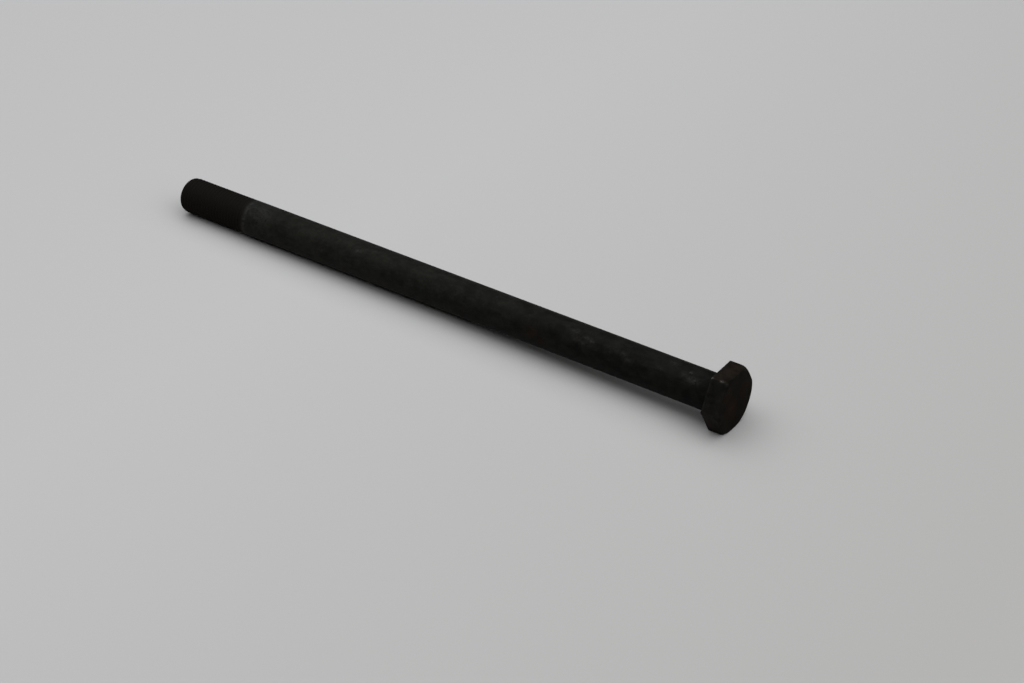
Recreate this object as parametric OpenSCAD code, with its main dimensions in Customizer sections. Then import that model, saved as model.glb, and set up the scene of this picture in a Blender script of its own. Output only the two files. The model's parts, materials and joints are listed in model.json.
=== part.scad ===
// Suspension bolt: a long bolt with a low hexagon head, a plain shank and a short threaded
// end, which pins the bush of an arm or a damper in its bracket. It is forged and rolled as
// one piece. It lies on its side, on an edge of the head and on the rim of the tip, with
// the head toward +X. The origin is on the ground, under the middle of its length and width.

/* [Shank] */
// Diameter of the plain shank
shank_d = 12; // [8:0.5:14]
// Length from the washer face to the end of the tip
under_head_l = 205; // [80:1:320]
// Radius of the fillet between the shank and the washer face
neck_fillet_r = 0.8; // [0.2:0.1:1.5]

/* [Head] */
// Distance between two opposite flats of the hexagon
across_flats = 18.8; // [17:0.1:30]
// Height of the hexagon, without the washer face
hexagon_h = 5.7; // [4:0.1:12]
// Radius of the rounded rim that runs from the face over the corners
rim_r = 1.8; // [0.5:0.1:3]
// How far the corners of the hexagon are turned back from sharp
corner_trim = 0.08; // [0.02:0.02:0.6]
// How far the washer face stands off the hexagon
washer_face_h = 0.4; // [0.1:0.1:1]
// How far the washer face stops short of the flats
washer_face_inset = 0.9; // [0.2:0.1:1.2]

/* [Threaded end] */
// Length of the threaded end, with the tip
thread_l = 27.4; // [10:0.2:60]
// How far the crests of the thread lie under the surface of the shank
crest_drop = 0.04; // [0.02:0.02:0.4]
// Length of the slope from the shank down to the crests
runout_l = 0.6; // [0.2:0.1:2]
// Length of the rounded tip
tip_l = 2; // [0.5:0.1:4]
// How far the rounding of the tip comes in from the crests
tip_drop = 1.5; // [0.4:0.1:3]

/* [Hidden] */
arc_steps = 8;
round_fn = 128;
// How far a tool or a fused part runs on past the face that it makes
run_on = 1;

shank_r = shank_d / 2;
crest_r = shank_r - crest_drop;
flat_r = across_flats / 2;
corner_r = flat_r / cos(30);
disc_r = corner_r - corner_trim;
face_r = disc_r - rim_r;
washer_face_r = flat_r - washer_face_inset;
neck_r = min(neck_fillet_r, washer_face_r - shank_r);

// Heights along the bolt, from the underside of the hexagon toward the tip
tip_end_z = washer_face_h + under_head_l;
tip_start_z = tip_end_z - tip_l;
shank_end_z = tip_end_z - thread_l;

// At rest the flat under the head meets the ground along its edge at the shank's side, and
// the bolt leans down until the tip's rim, or the end of the shank, meets the ground too
tip_lean = atan((flat_r - crest_r) / tip_start_z);
shank_lean = atan((flat_r - shank_r) / shank_end_z);
lean = min(tip_lean, shank_lean);
rest_z = flat_r * cos(lean);

// Ends of the resting bolt along X, from the middle of the hexagon's underside
head_end_x = hexagon_h * cos(lean) + min(face_r, flat_r) * sin(lean);
tip_end_x = -tip_end_z * cos(lean) - (crest_r - tip_drop) * sin(lean);
middle_x = (head_end_x + tip_end_x) / 2;

// Points on an ellipse with half axes rx and ry, from one angle to another
function arc(cx, cy, rx, ry, from, to) = [
    for (i = [0 : arc_steps])
        let (a = from + (to - from) * i / arc_steps)
            [cx + rx * cos(a), cy + ry * sin(a)]
];

// The hexagon, with a flat facing along +X and along -X
module hexagon_bar() {
    translate([0, 0, -hexagon_h - run_on])
        rotate([0, 0, 30])
            cylinder(r = corner_r, h = hexagon_h + run_on, $fn = 6);
}

// The turned disc whose rounded rim the hexagon is cut back to
module turned_disc() {
    rotate_extrude($fn = round_fn)
        polygon(concat(
            [[0, run_on], [0, -hexagon_h]],
            arc(face_r, rim_r - hexagon_h, rim_r, rim_r, -90, 0),
            [[disc_r, run_on]]
        ));
}

module head() {
    intersection() {
        hexagon_bar();
        turned_disc();
    }
    translate([0, 0, -run_on])
        cylinder(r = washer_face_r, h = run_on + washer_face_h, $fn = round_fn);
}

// Everything under the head in one turned outline, sunk into the head where they fuse
module stem() {
    rotate_extrude($fn = round_fn)
        polygon(concat(
            [[0, -run_on / 2], [shank_r + neck_r, -run_on / 2]],
            arc(shank_r + neck_r, washer_face_h + neck_r, neck_r, neck_r, 270, 180),
            [[shank_r, shank_end_z], [crest_r, shank_end_z + runout_l]],
            arc(crest_r - tip_drop, tip_start_z, tip_drop, tip_l, 0, 90),
            [[0, tip_end_z]]
        ));
}

module bolt() {
    color([0.13, 0.13, 0.13])
        translate([-middle_x, 0, rest_z])
            rotate([0, -90 - lean, 0]) {
                head();
                stem();
            }
}

bolt();
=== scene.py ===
"""The looks of the suspension bolt: one worn, blackened steel bolt on a plain pale floor.

The bolt is one closed skin, made of rings around its axis: the head, the neck, the shank, the
rolled thread and the tip. Lengths on the bolt are in millimetres, in the bolt's own frame:
s runs along the axis from the washer face toward the tip, r is the distance from the axis,
and an angle of 0 is the side that faces up, with 90 degrees on the +Y side.
"""

import json
import math

import bmesh
import bpy
import numpy as np
from mathutils import Matrix, Vector


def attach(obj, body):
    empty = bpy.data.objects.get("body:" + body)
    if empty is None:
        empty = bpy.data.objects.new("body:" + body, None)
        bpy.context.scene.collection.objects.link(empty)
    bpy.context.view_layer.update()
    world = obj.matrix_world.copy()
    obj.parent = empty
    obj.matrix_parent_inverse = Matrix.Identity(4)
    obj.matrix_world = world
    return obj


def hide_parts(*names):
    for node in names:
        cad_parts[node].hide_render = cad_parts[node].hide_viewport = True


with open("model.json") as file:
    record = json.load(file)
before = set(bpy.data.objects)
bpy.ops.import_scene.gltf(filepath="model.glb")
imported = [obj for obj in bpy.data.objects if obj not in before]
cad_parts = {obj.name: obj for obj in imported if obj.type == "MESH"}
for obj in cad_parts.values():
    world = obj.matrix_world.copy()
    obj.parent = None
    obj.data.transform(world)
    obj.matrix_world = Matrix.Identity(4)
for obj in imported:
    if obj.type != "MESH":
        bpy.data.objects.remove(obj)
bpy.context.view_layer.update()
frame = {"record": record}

MM = 0.001
mounts = {mount["name"]: mount for mount in frame["record"]["mounts"]}

# The bolt's axis and origin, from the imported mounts
AXIS = Vector(mounts["shank"]["axis"]).normalized()
SIDE = Vector((0, 1, 0))
UP = SIDE.cross(AXIS).normalized()
shank_middle = Vector(mounts["shank"]["pos_m"])
thread_middle = Vector(mounts["threaded_end"]["pos_m"])
ORIGIN = shank_middle + AXIS * (Vector(mounts["bearing_face"]["pos_m"]) - shank_middle).dot(AXIS)


def along(point):
    """Where a point of the frame lies along the axis, in millimetres from the washer face."""
    return (point - ORIGIN).dot(AXIS) / MM


# Sizes of the shank and the thread, from the frame
SHANK_R = mounts["shank"]["dims"]["r_mm"]
CREST_R = mounts["threaded_end"]["dims"]["r_mm"]
SHANK_FROM = along(shank_middle) - mounts["shank"]["dims"]["length_mm"] / 2
SHANK_TO = along(shank_middle) + mounts["shank"]["dims"]["length_mm"] / 2
CREST_FROM = along(thread_middle) - mounts["threaded_end"]["dims"]["length_mm"] / 2
TIP_FROM = along(thread_middle) + mounts["threaded_end"]["dims"]["length_mm"] / 2
NECK_R = SHANK_FROM

# Sizes of the head and the tip, as in the part's source
FLAT_R = 9.4
HEXAGON_H = 5.7
WASHER_H = 0.4
WASHER_R = 8.5
CORNER_TRIM = 0.08
RIM_R = 1.8
TIP_L = 2.0
TIP_DROP = 1.5

# Rounding in the mounts must not take the skin out of the solid's box
INSIDE = 0.0005

DISC_R = FLAT_R / math.cos(math.radians(30)) - CORNER_TRIM - INSIDE
FACE_R = DISC_R - RIM_R
HEX_UNDER = -WASHER_H
FACE_S = -WASHER_H - HEXAGON_H + INSIDE
NECK_FOOT_R = SHANK_R + NECK_R
TIP_TO = TIP_FROM + TIP_L - INSIDE
TIP_END_R = CREST_R - TIP_DROP

# Wear has softened the edges by these radii
EDGE_SOFT = 0.22
CORNER_SOFT = 0.4
WASHER_SOFT = 0.1

# The rolled thread, with the depth, the flanks and the round root of a metric one
PITCH = 1.25
CREST_HALF = PITCH / 16
ROOT_R = 0.1443 * PITCH
THREAD_DEPTH = 0.6134 * PITCH
FLANK_SLOPE = math.tan(math.radians(60))
# Dirt fills the thread up to this depth
PACKED_DEPTH = 0.3
RUNOUT_TURNS = 2.0
# A point of the thread this close to either end is put on the end's ring
THREAD_SNAP = 0.03

# Points around a ring, how they divide up on the head, and the steps from ring to ring
SEGMENTS = 168
EVEN_SHARE = 0.2
CROWDED_SHARE = 0.8
SHANK_STEP = 0.7
WASHER_STEPS = 4
SIDE_STEPS = 9
EDGE_STEPS = 6
RIM_STEPS = 8
FACE_STEPS = 16
NECK_STEPS = 8
TIP_END_STEPS = 8
WELD = 0.002 * MM

# Camera: it looks down on the bolt from the side of the head. Angles are in degrees
CAMERA_AIM = Vector((27.05, -1.41, 0)) * MM
CAMERA_DISTANCE = 703.9 * MM
CAMERA_AZIMUTH = 34.226
CAMERA_ELEVATION = 34.251
CAMERA_ROLL = 1.056
CAMERA_LENS = 79.92
SENSOR_WIDTH = 36


def make_camera():
    azimuth = math.radians(CAMERA_AZIMUTH)
    elevation = math.radians(CAMERA_ELEVATION)
    away = Vector((
        math.sin(azimuth) * math.cos(elevation),
        -math.cos(azimuth) * math.cos(elevation),
        math.sin(elevation),
    ))
    camera = bpy.data.objects.new("camera", bpy.data.cameras.new("camera"))
    camera.data.lens = CAMERA_LENS
    camera.data.sensor_width = SENSOR_WIDTH
    camera.data.clip_start = 10 * MM
    camera.location = CAMERA_AIM + away * CAMERA_DISTANCE
    roll = Matrix.Rotation(math.radians(CAMERA_ROLL), 4, "Z")
    camera.rotation_euler = (away.to_track_quat("Z", "Y").to_matrix().to_4x4() @ roll).to_euler()
    bpy.context.scene.collection.objects.link(camera)
    bpy.context.scene.camera = camera


# --- Materials --------------------------------------------------------------------------

# Blender's numbers for the color sockets of a mix node
MIX_A = 6
MIX_B = 7
MIX_RESULT = 2


class Nodes:
    """A short way to write a node material."""

    def __init__(self, name):
        self.material = bpy.data.materials.new(name)
        self.material.use_nodes = True
        self.tree = self.material.node_tree
        self.shader = self.tree.nodes["Principled BSDF"]

    def add(self, kind, inputs=None, **settings):
        node = self.tree.nodes.new(kind)
        for key, value in settings.items():
            setattr(node, key, value)
        for key, value in (inputs or {}).items():
            self.put(node.inputs[key], value)
        return node

    def put(self, socket, value):
        if isinstance(value, bpy.types.NodeSocket):
            self.tree.links.new(value, socket)
        else:
            socket.default_value = value

    def math(self, operation, a, b, clamp=False):
        node = self.add("ShaderNodeMath", {0: a, 1: b}, operation=operation, use_clamp=clamp)
        return node.outputs[0]

    def times(self, a, b):
        return self.math("MULTIPLY", a, b)

    def plus(self, a, b):
        return self.math("ADD", a, b)

    def noise(self, place, size, detail, roughness=0.6):
        """Noise with a size in millimetres: about size between one blob and the next."""
        node = self.add("ShaderNodeTexNoise", {
            "Vector": place, "Scale": 1 / size, "Detail": detail, "Roughness": roughness,
        })
        return node.outputs["Fac"]

    def ramp(self, value, low, high):
        """0 where value is under low and 1 over high, smooth between them."""
        node = self.add("ShaderNodeMapRange", {
            "Value": value, "From Min": low, "From Max": high,
        }, interpolation_type="SMOOTHSTEP")
        return node.outputs["Result"]

    def mix(self, factor, a, b):
        node = self.add("ShaderNodeMix", data_type="RGBA")
        self.put(node.inputs["Factor"], factor)
        self.put(node.inputs[MIX_A], a)
        self.put(node.inputs[MIX_B], b)
        return node.outputs[MIX_RESULT]

    def stretched(self, scale):
        """Places in the bolt's own frame, in millimetres, multiplied by scale along each axis."""
        where = self.add("ShaderNodeAttribute", attribute_name="place").outputs["Vector"]
        return self.add("ShaderNodeMapping", {"Vector": where, "Scale": scale}).outputs["Vector"]

    def attribute(self, name):
        return self.add("ShaderNodeAttribute", attribute_name=name).outputs["Fac"]


# Colors of the black oxide, of what lies on it and of what shows where it has worn
BLACK = (0.0048, 0.0048, 0.0046, 1)
FILM = (0.0150, 0.0149, 0.0126, 1)
BROWNED = (0.0040, 0.0033, 0.0021, 1)
BROWN_FILM = (0.0142, 0.0112, 0.0090, 1)
SOOT = (0.0016, 0.0016, 0.0015, 1)
GRIME = (0.0084, 0.0073, 0.0060, 1)
RUST = (0.018, 0.0080, 0.0050, 1)
# Rub marks, and the painted highlight ring before the thread
RUBBED_AND_HIGHLIGHT = (0.044, 0.043, 0.041, 1)
BARE = (0.26, 0.25, 0.235, 1)

# The oxide is so matte that it hardly mirrors anything
STEEL_SPECULAR = 0.028
GRAIN_HEIGHT = 0.06 * MM
GRAIN_STRENGTH = 0.5


def film_amount(nodes, place, grains):
    """The thin film, in blotches with streaks along the bolt."""
    blotches = nodes.noise(place, size=6, detail=5)
    streaks = nodes.noise(nodes.stretched((1, 1, 0.2)), size=1.2, detail=3, roughness=0.55)
    mottle = nodes.noise(place, size=2.2, detail=3)
    patchy = nodes.plus(
        nodes.times(nodes.ramp(blotches, 0.35, 0.65), 0.55),
        nodes.times(nodes.ramp(streaks, 0.42, 0.66), 0.3),
    )
    patchy = nodes.plus(patchy, nodes.times(nodes.ramp(mottle, 0.38, 0.62), 0.4))
    patchy = nodes.times(patchy, nodes.ramp(grains, 0.2, 0.6))
    return nodes.math("MULTIPLY", nodes.attribute("film"), nodes.plus(patchy, 0.3), clamp=True)


def steel_roughness(nodes, grains, dull, rubbed_and_highlight):
    """Rougher where the steel is grimy or browned, and smoother at rub marks and on the painted
    highlight ring.
    """
    rough = nodes.add("ShaderNodeMapRange", {
        "Value": grains, "From Min": 0.3, "From Max": 0.7, "To Min": 0.45, "To Max": 0.65,
    }).outputs["Result"]
    rough = nodes.plus(rough, nodes.times(dull, 0.2))
    return nodes.math("SUBTRACT", rough, nodes.times(rubbed_and_highlight, 0.15))


def steel_material():
    """Black oxide under a thin brownish film, with rub marks, rust and wear where the skin says
    so, and a painted highlight: a light ring around the shank before the thread.
    """
    nodes = Nodes("blackened_steel")
    place = nodes.stretched((1, 1, 1))
    grains = nodes.noise(place, size=0.7, detail=5, roughness=0.65)
    fine = nodes.noise(place, size=0.25, detail=3)
    brown = nodes.attribute("brown")
    grime = nodes.attribute("grime")
    sooty = nodes.noise(nodes.stretched((1, 1, 0.7)), size=3.3, detail=3)
    soot = nodes.times(nodes.ramp(sooty, 0.46, 0.62), nodes.attribute("soot"))
    rust = nodes.times(nodes.attribute("rust"), nodes.ramp(grains, 0.36, 0.6))
    rubbed_and_highlight = nodes.times(nodes.attribute("rubbed_and_highlight"), nodes.ramp(grains, 0.3, 0.66))
    worn = nodes.times(nodes.attribute("worn"), nodes.ramp(fine, 0.35, 0.6))

    oxide = nodes.mix(brown, BLACK, BROWNED)
    filmed = nodes.mix(brown, FILM, BROWN_FILM)
    color = nodes.mix(film_amount(nodes, place, grains), oxide, filmed)
    color = nodes.mix(soot, color, SOOT)
    color = nodes.mix(rust, color, RUST)
    color = nodes.mix(grime, color, GRIME)
    # Rub marks, and a painted highlight ring around the shank before the thread
    color = nodes.mix(rubbed_and_highlight, color, RUBBED_AND_HIGHLIGHT)
    color = nodes.mix(worn, color, BARE)
    nodes.put(nodes.shader.inputs["Base Color"], color)
    dull = nodes.math("MAXIMUM", grime, brown)
    rough = steel_roughness(nodes, grains, dull, rubbed_and_highlight)
    nodes.put(nodes.shader.inputs["Roughness"], rough)
    nodes.put(nodes.shader.inputs["Metallic"], worn)
    nodes.shader.inputs["Specular IOR Level"].default_value = STEEL_SPECULAR
    height = nodes.plus(nodes.times(grains, 0.6), nodes.times(fine, 0.4))
    bump = nodes.add("ShaderNodeBump", {
        "Height": height, "Strength": GRAIN_STRENGTH, "Distance": GRAIN_HEIGHT,
    })
    nodes.put(nodes.shader.inputs["Normal"], bump.outputs["Normal"])
    return nodes.material


# --- The bolt's skin --------------------------------------------------------------------

def even_angles():
    return np.arange(SEGMENTS) * 2 * np.pi / SEGMENTS


def head_angles():
    """Angles that crowd together at the corners of the hexagon, at 30, 90 and on."""
    even = np.degrees(even_angles())
    inside = (even + 30) % 60 - 30
    crowded = EVEN_SHARE * inside + CROWDED_SHARE * 30 * np.sin(np.pi * inside / 60)
    return np.radians(even - inside + crowded)


def hexagon_radius(angles):
    """The hexagon's outline, with corners rounded by CORNER_SOFT and cut back to the disc."""
    from_flat = (angles + np.pi / 6) % (np.pi / 3) - np.pi / 6
    flat = FLAT_R / np.cos(from_flat)
    to_corner = np.pi / 6 - np.abs(from_flat)
    middle = (FLAT_R - CORNER_SOFT) / math.cos(math.pi / 6)
    beside = middle * np.sin(to_corner)
    rounded = middle * np.cos(to_corner) + np.sqrt(np.maximum(CORNER_SOFT**2 - beside**2, 0))
    on_corner = beside < CORNER_SOFT * math.sin(math.pi / 6)
    return np.minimum(np.where(on_corner, rounded, flat), DISC_R)


def rings(angles, outline):
    """Rings from (s, r) pairs, in which a value may be an array with one entry an angle."""
    ones = np.ones(SEGMENTS)
    return [(s * ones, r * ones, angles) for s, r in outline]


def arc(s, r, half_s, half_r, start, end, steps):
    """Points on an ellipse. An angle of 0 points away from the axis, and 90 toward the tip."""
    turns = [math.radians(start + (end - start) * i / steps) for i in range(steps + 1)]
    return [(s + half_s * math.sin(turn), r + half_r * math.cos(turn)) for turn in turns]


def shares(count):
    """Even steps from just after 0 up to 1."""
    return np.arange(1, count + 1) / count


def underside_outline(side_r):
    """From the neck over the washer face, and under the hexagon out to its softened edge."""
    washer_flat_r = WASHER_R - WASHER_SOFT
    outline = [(0, r) for r in np.linspace(NECK_FOOT_R, washer_flat_r, WASHER_STEPS + 1)]
    outline += arc(-WASHER_SOFT, washer_flat_r, WASHER_SOFT, WASHER_SOFT, 90, 0, 3)[1:]
    outline += [(-WASHER_H + WASHER_SOFT, WASHER_R), (HEX_UNDER, WASHER_R + WASHER_SOFT)]
    reach = side_r - EDGE_SOFT - WASHER_R
    outline += [(HEX_UNDER, WASHER_R + reach * share) for share in (0.35, 0.7)]
    return outline + arc(HEX_UNDER - EDGE_SOFT, side_r - EDGE_SOFT, EDGE_SOFT, EDGE_SOFT, 90, 0, 5)


def rim_outline(side_r):
    """Up the sides of the hexagon, over the rounded rim and in to the middle of the face.

    The rim is an arc around rim_s and FACE_R, and it meets each flat in a softened edge."""
    side_from = HEX_UNDER - EDGE_SOFT
    rim_s = FACE_S + RIM_R
    edge_r = side_r - EDGE_SOFT
    sink = np.sqrt(np.maximum((RIM_R - EDGE_SOFT) ** 2 - np.maximum(edge_r - FACE_R, 0) ** 2, 0))
    edge_s = rim_s - sink
    meet = np.arctan2(sink, edge_r - FACE_R)
    outline = [(side_from + share * (edge_s - side_from), side_r) for share in shares(SIDE_STEPS)]
    outline += [(edge_s - EDGE_SOFT * np.sin(turn), edge_r + EDGE_SOFT * np.cos(turn))
                for turn in [meet * share for share in shares(EDGE_STEPS)]]
    outline += [(rim_s - RIM_R * np.sin(turn), FACE_R + RIM_R * np.cos(turn))
                for turn in [meet + (np.pi / 2 - meet) * share for share in shares(RIM_STEPS)]]
    return outline + [(FACE_S, FACE_R * (1 - share)) for share in shares(FACE_STEPS)]


def head_rings():
    """The head, from the foot of the neck's fillet over the hexagon to the middle of the face."""
    angles = head_angles()
    side_r = hexagon_radius(angles)
    outline = underside_outline(side_r) + rim_outline(side_r)
    return rings(even_angles(), outline[:1]) + rings(angles, outline[1:])


def stem_rings():
    """The neck's fillet and the shank, down to where the thread runs out."""
    outline = arc(NECK_R, SHANK_R + NECK_R, -NECK_R, -NECK_R, 90, 0, NECK_STEPS)
    shank_l = SHANK_TO - SHANK_FROM
    steps = shares(round(shank_l / SHANK_STEP))
    outline += [(SHANK_FROM + share * shank_l, SHANK_R) for share in steps]
    return rings(even_angles(), outline)


def thread_profile():
    """One pitch of the thread as (distance along the axis, depth), from the middle of a crest."""
    half = [(0.0, 0.0), (0.8 * CREST_HALF, 0.0), (1.5 * CREST_HALF, 0.5 * CREST_HALF)]
    half += [(x, (x - CREST_HALF) * FLANK_SLOPE) for x in (0.16 * PITCH, 0.27 * PITCH)]
    half += [(PITCH / 2 - ROOT_R * math.cos(turn), THREAD_DEPTH - ROOT_R + ROOT_R * math.sin(turn))
             for turn in (math.radians(40), math.radians(90))]
    return half + [(PITCH - x, depth) for x, depth in half[-2:0:-1]]


def tip_radius(s):
    """The rounding of the tip, which cuts the thread back. It has no say before the tip."""
    share = np.clip((s - TIP_FROM) / (TIP_TO - TIP_FROM), 0, 1)
    return np.where(s < TIP_FROM, SHANK_R, CREST_R - TIP_DROP * (1 - np.sqrt(1 - share**2)))


def thread_rings():
    """The thread as rows that climb one pitch a turn, cut off square at both ends.

    The last point of a row joins the first point of the row one pitch further on, so there
    the wrap skips as many rows as the profile has points."""
    profile = thread_profile()
    angles = even_angles()
    climb = PITCH * angles / (2 * np.pi)
    found = []
    for turn in range(-1, math.ceil((TIP_TO - SHANK_TO) / PITCH) + 2):
        for offset, depth in profile:
            s = SHANK_TO + turn * PITCH + offset + climb
            s = np.where(s < SHANK_TO + THREAD_SNAP, SHANK_TO, s)
            s = np.where(s > TIP_TO - THREAD_SNAP, TIP_TO, s)
            lift = np.clip((CREST_FROM - s) / (RUNOUT_TURNS * PITCH) + 1, 0, 1)
            body = np.interp(s, [SHANK_TO, CREST_FROM], [SHANK_R, CREST_R])
            cut = np.clip(depth - THREAD_DEPTH * lift, 0, PACKED_DEPTH)
            found.append((s, np.minimum(body - cut, tip_radius(s)), angles))
    return found, len(profile)


def end_rings():
    """The flat end of the tip."""
    inward = [1 - i / TIP_END_STEPS for i in range(TIP_END_STEPS + 1)]
    return rings(even_angles(), [(TIP_TO, TIP_END_R * share) for share in inward])


class Skin:
    """Points of the bolt's own frame (x up, y to the side, s along the axis) and faces."""

    def __init__(self):
        self.points = []
        self.faces = []

    def add(self, patch, wrap=0):
        """Adds rows of points, with faces from each row to the next."""
        first = len(self.points) * SEGMENTS
        self.points += [np.stack([r * np.cos(a), r * np.sin(a), s], 1) for s, r, a in patch]
        for row in range(len(patch) - 1):
            for i in range(SEGMENTS):
                last = i == SEGMENTS - 1
                over = row + wrap if last else row
                if over + 1 < len(patch):
                    here = first + row * SEGMENTS + i
                    there = first + over * SEGMENTS + (0 if last else i + 1)
                    self.faces.append((here, there, there + SEGMENTS, here + SEGMENTS))


# --- Wear and finish --------------------------------------------------------------------

# Marks on the finish, each as (s, angle, half length, half width, strength)
WORN_MARKS = [(-0.6, -30, 0.3, 0.25, 0.8), (-3.9, -30, 0.5, 0.3, 0.5)]
RUST_MARKS = [
    (62.5, -78, 2.2, 1.8, 0.9), (59.0, -97, 2.0, 1.6, 0.7), (-1.8, -120, 2.0, 4.0, 0.75),
    (-3.4, 8, 1.6, 2.5, 0.35), (-3.0, 170, 2.0, 4.0, 0.6), (118, 150, 5.0, 3.0, 0.5),
    (24, 120, 4.0, 2.5, 0.4),
]
RUBBED_MARKS = [
    (6.6, -39, 2.2, 1.1, 0.6), (8.1, -19, 0.7, 0.5, 1.0), (9.8, -32, 1.2, 1.3, 0.35),
    (14.7, -8, 1.0, 0.6, 0.35), (17.6, -40, 1.4, 0.6, 0.3), (28.5, -51, 0.9, 0.5, 0.4),
    (30.5, -37, 1.1, 0.5, 0.4), (41.8, -38, 0.8, 0.5, 0.8), (43.6, -34, 2.0, 0.9, 0.4),
    (44.2, -51, 2.2, 0.7, 0.35), (46.6, -45, 1.8, 1.0, 0.25), (48.2, -26, 1.8, 1.1, 0.4),
    (131, -32, 1.3, 0.7, 0.5), (125, -13, 1.2, 0.5, 0.3), (144, -69, 1.2, 0.6, 0.3),
    (147, -84, 1.2, 0.6, 0.3), (135, -92, 1.0, 0.6, 0.3), (172, -30, 4.5, 4.0, 0.35),
    (36, 140, 3.0, 1.2, 0.4), (88, 105, 4.0, 1.0, 0.4), (154, 60, 2.5, 1.5, 0.4),
]
# Rust on the face, each as (up, to the side, radius, strength)
FACE_RUST = [
    (-1.0, -2.8, 3.0, 1.0), (4.6, -4.8, 2.4, 0.6), (-4.6, -1.0, 2.0, 0.4), (2.0, 4.5, 3.0, 0.5),
    (-4.0, 5.0, 2.2, 0.3),
]
# Nicks and dents, each as (s, angle, half length, half width, depth)
DENTS = [
    (6.6, -38, 1.4, 1.0, 0.10), (28.4, -55, 1.0, 0.7, 0.06), (41.0, -47, 1.2, 0.8, 0.12),
    (47.0, -34, 1.6, 0.9, 0.08), (131.4, -28, 1.2, 0.8, 0.08), (-0.5, -30, 0.7, 0.6, 0.15),
    (-3.0, -30, 0.9, 0.5, 0.08), (-0.5, -112, 0.8, 0.9, 0.10), (-4.4, -76, 1.0, 1.2, 0.08),
]

# Film and soot along the shank, each as places and the strengths there
SHANK_FILM = ([0, 40, 90, 175], [0.35, 0.5, 0.75, 1.0])
SHANK_SOOT = ([0, 60, 120], [0.45, 0.35, 0.15])
# Film on the head, what its top flat has more, and what its face has less at each radius
HEAD_FILM = 0.65
TOP_FILM = 0.3
FACE_FILM_LOSS = ([5, 8.5], [0.55, 0.2])
HEAD_SOOT = 0.45
# The face's finish fades out between these heights on the rim, and the top flat's past its reach
FACE_FADE = (0.05, 0.35)
TOP_REACH = 0.3
# The head's sides are a little browned, and its face and top flat are fully so
SIDE_BROWN = 0.2
# The dirt in the thread starts over this length
GRIME_FADE = 0.6
# A painted highlight: a light ring around the shank just before the thread, in the color of the
# rub marks, that stands in for light caught by the edge where the thread runs out
HIGHLIGHT_RING_BEFORE_THREAD = 0.7
HIGHLIGHT_RING_WIDTH = 0.6
HIGHLIGHT_RING_STRENGTH = 0.5
# The steel shows faintly along the corners of the hexagon, over some degrees around the axis,
# and along its edge underneath, from a radius outward
CORNER_WEAR = 0.03
CORNER_WIDTH = 1.5
UNDER_EDGE_WEAR = 0.035
UNDER_EDGE_WIDTH = 0.3
UNDER_EDGE_FROM = 9.0
# Points this close to a plane count as on it
SLACK = 0.01


def bell(distance, width):
    """1 in the middle, and nearly 0 two widths away."""
    return np.exp(-((distance / width) ** 2))


def marked(points, marks):
    """Soft spots on the skin, each as strong as its mark says."""
    x, y, s = points.T
    r = np.hypot(x, y)
    around = np.arctan2(y, x)
    total = np.zeros(len(s))
    for at, angle, half_length, half_width, strength in marks:
        off = (around - math.radians(angle) + np.pi) % (2 * np.pi) - np.pi
        far = ((s - at) / half_length) ** 2 + (r * off / half_width) ** 2
        total = np.maximum(total, strength * np.exp(-far))
    return total


def face_rust(points):
    total = np.zeros(len(points))
    for up, side, radius, strength in FACE_RUST:
        far = ((points[:, 0] - up) ** 2 + (points[:, 1] - side) ** 2) / radius**2
        total = np.maximum(total, strength * np.exp(-far))
    return total


def dented(points):
    """The points, pushed toward the axis in the dents."""
    r = np.hypot(points[:, 0], points[:, 1])
    left = 1 - marked(points, DENTS) / np.maximum(r, 1)
    return points * np.stack([left, left, np.ones(len(r))], 1)


def finish_masks(points):
    """How rusted, rubbed, worn and so on the finish is at each point, from 0 to 1."""
    x, y, s = points.T
    r = np.hypot(x, y)
    from_corner = np.abs((np.degrees(np.arctan2(y, x)) + 60) % 60 - 30)
    on_head = s < HEX_UNDER + SLACK
    on_face = np.interp(s - FACE_S, FACE_FADE, (1, 0))
    on_top = on_head & (x > FLAT_R - TOP_REACH)
    at_corner = bell(from_corner, CORNER_WIDTH) * (r > FLAT_R) * on_head
    at_under_edge = bell(s - HEX_UNDER, UNDER_EDGE_WIDTH) * (r > UNDER_EDGE_FROM) * on_head
    # Painted highlight: a light ring that stands in for light caught by the edge where the thread
    # runs out
    ring = bell(s - SHANK_TO + HIGHLIGHT_RING_BEFORE_THREAD, HIGHLIGHT_RING_WIDTH)
    head_film = HEAD_FILM + TOP_FILM * on_top - np.interp(r, *FACE_FILM_LOSS) * on_face
    worn = marked(points, WORN_MARKS) + CORNER_WEAR * at_corner + UNDER_EDGE_WEAR * at_under_edge
    return {
        "film": np.where(s > 0, np.interp(s, *SHANK_FILM), head_film),
        "brown": on_head * (SIDE_BROWN + (1 - SIDE_BROWN) * np.maximum(on_top, on_face)),
        "soot": np.where(s > 0, np.interp(s, *SHANK_SOOT), HEAD_SOOT),
        "rust": np.clip(marked(points, RUST_MARKS) + face_rust(points) * on_face, 0, 1),
        "grime": np.clip((s - SHANK_TO) / GRIME_FADE, 0, 1),
        "rubbed_and_highlight": np.clip(marked(points, RUBBED_MARKS) + HIGHLIGHT_RING_STRENGTH * ring, 0, 1),
        "worn": np.clip(worn, 0, 1),
    }


def weld(data):
    """Joins the patches where their rims meet, so that the skin is one closed surface."""
    mesh = bmesh.new()
    mesh.from_mesh(data)
    bmesh.ops.remove_doubles(mesh, verts=mesh.verts, dist=WELD)
    loose = [vertex for vertex in mesh.verts if not vertex.link_faces]
    bmesh.ops.delete(mesh, geom=loose, context="VERTS")
    bmesh.ops.recalc_face_normals(mesh, faces=mesh.faces)
    triangles = sum(len(face.verts) - 2 for face in mesh.faces)
    open_edges = sum(len(edge.link_faces) != 2 for edge in mesh.edges)
    print("bolt:", triangles, "triangles,", open_edges, "open edges")
    mesh.to_mesh(data)
    mesh.free()


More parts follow.
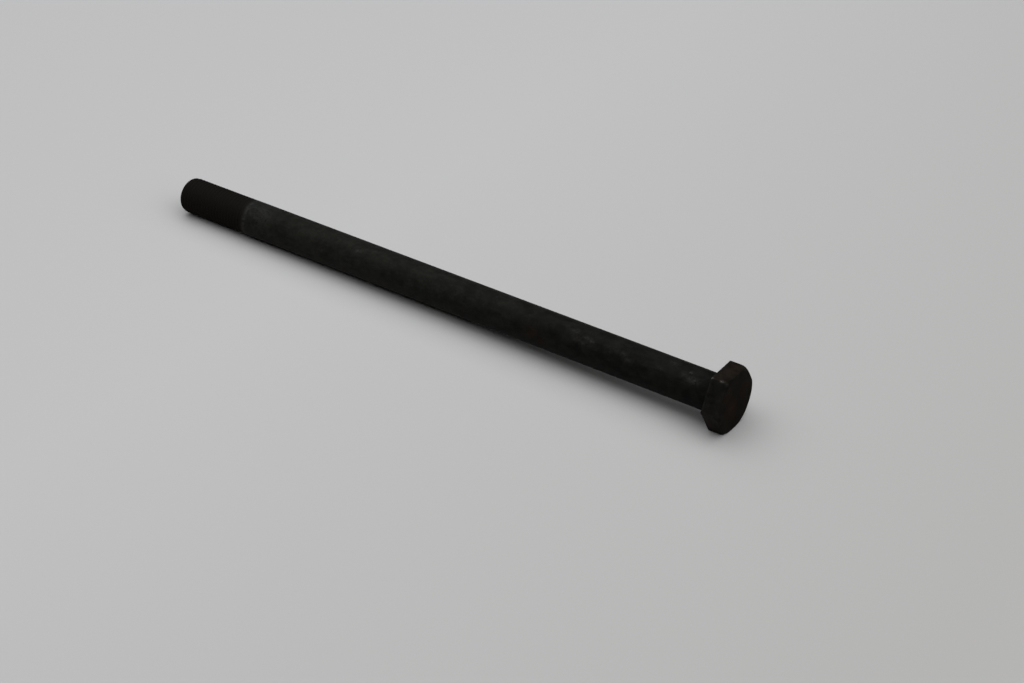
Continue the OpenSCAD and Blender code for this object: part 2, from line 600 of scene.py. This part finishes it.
def make_bolt():
    skin = Skin()
    skin.add(head_rings())
    skin.add(stem_rings())
    thread, rows_a_turn = thread_rings()
    skin.add(thread, rows_a_turn)
    skin.add(end_rings())
    own = dented(np.concatenate(skin.points))
    placed = np.array(ORIGIN) + MM * own @ np.array([UP, SIDE, AXIS])
    data = bpy.data.meshes.new("bolt_steel")
    data.from_pydata(placed, [], skin.faces)
    data.attributes.new("place", "FLOAT_VECTOR", "POINT").data.foreach_set("vector", own.ravel())
    for name, amounts in finish_masks(own).items():
        data.attributes.new(name, "FLOAT", "POINT").data.foreach_set("value", amounts)
    weld(data)
    data.shade_smooth()
    bolt = bpy.data.objects.new("bolt_steel", data)
    bpy.context.scene.collection.objects.link(bolt)
    data.materials.append(steel_material())
    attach(bolt, "root")
    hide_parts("bolt")


# --- Floor and light, in metres ---------------------------------------------------------

FLOOR_SIZE = 6.0
# The floor's pale color, and a darker one that carries painted shade
FLOOR_FAR = (0.535, 0.534, 0.539, 1)
FLOOR_NEAR_SHADED = (0.452, 0.450, 0.446, 1)
# Painted shade: the floor's color darkens from far to near between these places along X, standing
# in for the light falling off toward the side of the head
FLOOR_SHADE_FADE = (-0.05, 0.2)
FLOOR_ROUGHNESS = 0.9

# Each softbox as (size, place, radiance). With the fill, they light a white floor to white
SOFTBOXES = [
    ((6.6, 2.8), (1.4, 0.07, 1.2), 1.0),
    ((3.0, 1.15), (0.45, 0.03, 1.19), 0.72),
]
FILL = 0.02


def floor_material():
    """Plain and pale, with painted shade that makes it a little darker toward the side of the
    head.
    """
    nodes = Nodes("pale_floor")
    where = nodes.add("ShaderNodeSeparateXYZ", {
        "Vector": nodes.add("ShaderNodeNewGeometry").outputs["Position"],
    }).outputs["X"]
    # Painted shade, from none on the far side to full on the near side
    fade = nodes.add("ShaderNodeMapRange", {
        "Value": where, "From Min": FLOOR_SHADE_FADE[0], "From Max": FLOOR_SHADE_FADE[1],
    }).outputs["Result"]
    nodes.put(nodes.shader.inputs["Base Color"], nodes.mix(fade, FLOOR_FAR, FLOOR_NEAR_SHADED))
    nodes.shader.inputs["Roughness"].default_value = FLOOR_ROUGHNESS
    nodes.shader.inputs["Specular IOR Level"].default_value = 0.0
    return nodes.material


def make_floor():
    data = bpy.data.meshes.new("floor")
    half = FLOOR_SIZE / 2
    corners = [(-half, -half, 0), (half, -half, 0), (half, half, 0), (-half, half, 0)]
    data.from_pydata(corners, [], [(0, 1, 2, 3)])
    floor = bpy.data.objects.new("floor", data)
    data.materials.append(floor_material())
    bpy.context.scene.collection.objects.link(floor)


def make_light():
    """Two softboxes overhead that overlap, and a faint fill from all around."""
    world = bpy.data.worlds.new("world")
    world.use_nodes = True
    world.node_tree.nodes["Background"].inputs["Color"].default_value = (1, 1, 1, 1)
    world.node_tree.nodes["Background"].inputs["Strength"].default_value = FILL
    bpy.context.scene.world = world
    for size, place, radiance in SOFTBOXES:
        lamp = bpy.data.lights.new("softbox", "AREA")
        lamp.shape = "RECTANGLE"
        lamp.size, lamp.size_y = size
        lamp.energy = radiance * math.pi * size[0] * size[1]
        softbox = bpy.data.objects.new("softbox", lamp)
        softbox.location = place
        bpy.context.scene.collection.objects.link(softbox)


make_camera()
make_light()
make_floor()
make_bolt()
bpy.context.scene.view_settings.view_transform = "Standard"
